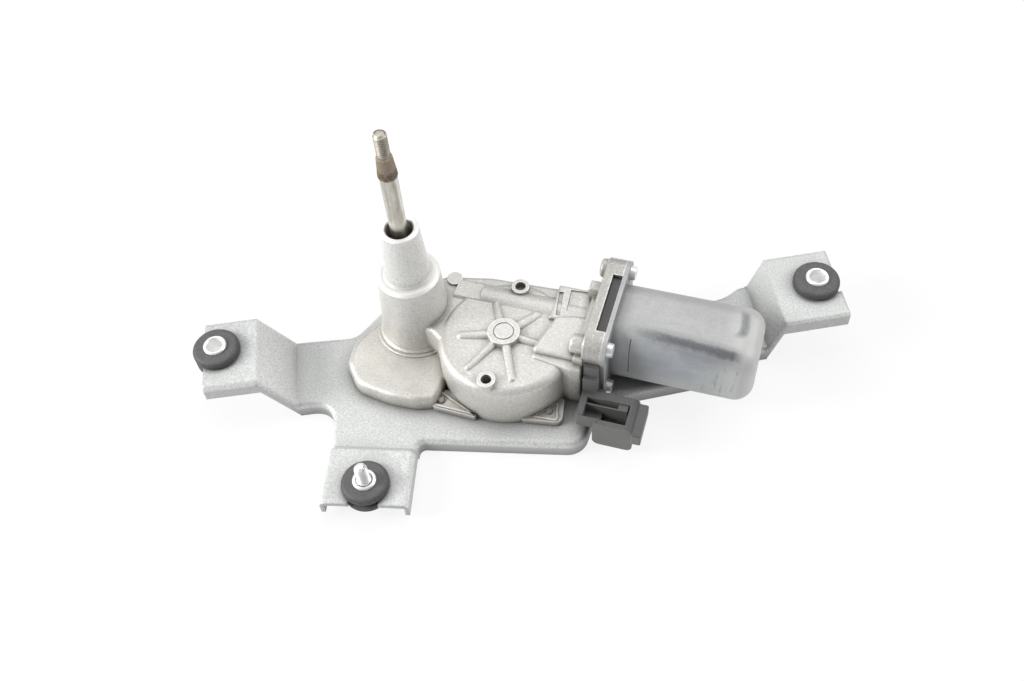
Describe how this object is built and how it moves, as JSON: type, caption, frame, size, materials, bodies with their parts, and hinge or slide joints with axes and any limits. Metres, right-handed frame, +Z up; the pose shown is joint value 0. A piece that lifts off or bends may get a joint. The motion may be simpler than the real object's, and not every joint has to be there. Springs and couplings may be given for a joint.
{
  "type": "wiper motor",
  "caption": "Rear wiper motor: pressed bracket with rubber-mounted sleeves, die-cast gear housing with a tall output tower, oval motor can and side plug socket.",
  "frame": {"origin": "centre of the part's box in plan, at its lowest edge", "axes": "+Z up along the output shaft, +X along the motor from the tower to the closed end of the can, +Y away from the plug socket"},
  "size_m": [0.2948, 0.1876, 0.1443],
  "materials": {
    "bracket_steel": "satin grey coating with fine speckle",
    "cast_alloy": "die-cast skin, fine grain",
    "yoke_steel": "blue-grey zinc, streaked",
    "bright_steel": "turned and zinc plated",
    "shaft_steel": "ground, brown rust at the knurl",
    "black_rubber": "matte",
    "dark_plastic": "moulded, fine grain",
    "gear_plastic": "moulded",
    "gear_steel": "case hardened",
    "bronze": "sintered, oily",
    "copper": "enamelled or bare copper",
    "ferrite": "sintered",
    "carbon": "pressed graphite"
  },
  "bodies": {
    "housing": {"brush_holder": "dark_plastic", "brush_springs": "bright_steel", "brushes": "carbon", "connector_terminals": "copper", "cover_screws": "bright_steel", "flange_screws": "bright_steel", "gear_housing": "cast_alloy", "grommet_front": "black_rubber", "grommet_left": "black_rubber", "grommet_right": "black_rubber", "housing_gasket": "black_rubber", "magnets": "ferrite", "motor_bearings": "bronze", "motor_yoke": "yoke_steel", "mounting_bolt": "bright_steel", "mounting_bracket": "bracket_steel", "sector_pin": "bright_steel", "shaft_seal": "black_rubber", "sleeve_front": "bright_steel", "sleeve_left": "bright_steel", "sleeve_right": "bright_steel", "thrust_ball": "bright_steel", "thrust_plug": "gear_plastic", "thrust_washers": "gear_steel", "tower_bushes": "bronze", "wheel_spindle": "bright_steel"},
    "output": {"output_shaft": "shaft_steel", "output_pinion": "gear_steel", "retaining_ring": "gear_steel"},
    "sector": {"sector_gear": "gear_steel", "arm_pin": "bright_steel"},
    "rod": {"connecting_rod": "gear_steel", "crank_pin": "bright_steel"},
    "wheel": {"worm_wheel": "gear_plastic", "park_disc": "copper"},
    "armature": {"armature_shaft": "shaft_steel", "armature_core": "gear_steel", "armature_windings": "copper", "commutator": "copper"}
  },
  "joints": [
    {"name": "output_shaft_sweep", "type": "hinge", "parent": "housing", "child": "output", "pos_m": [-0.05285, 0.00877, 0.048], "axis": [0, 0, 1], "range_deg": [0, 120]},
    {"name": "sector_gear_swing", "type": "hinge", "parent": "housing", "child": "sector", "pos_m": [-0.04084, -0.02035, 0.0112], "axis": [0, 0, 1], "range_deg": [-37.6, 0.1]},
    {"name": "connecting_rod_swing", "type": "hinge", "parent": "sector", "child": "rod", "pos_m": [-0.04025, 0.00714, 0.0157], "axis": [0, 0, 1], "range_deg": [-0.1, 47.79]},
    {"name": "armature_spin", "type": "hinge", "parent": "housing", "child": "armature", "pos_m": [0.03716, 0.02247, 0.0265], "axis": [1, 0, 0], "continuous": true},
    {"name": "worm_wheel_spin", "type": "hinge", "parent": "housing", "child": "wheel", "pos_m": [-0.00564, 0.00128, 0.0265], "axis": [0, 0, 1], "continuous": true}
  ],
  "couplings": [
    {"joint": "sector_gear_swing", "follows": "output_shaft_sweep", "ratio": -0.3125},
    {"joint": "connecting_rod_swing", "follows": "output_shaft_sweep", "ratio": 0.39744},
    {"joint": "worm_wheel_spin", "follows": "armature_spin", "ratio": 0.02381}
  ]
}
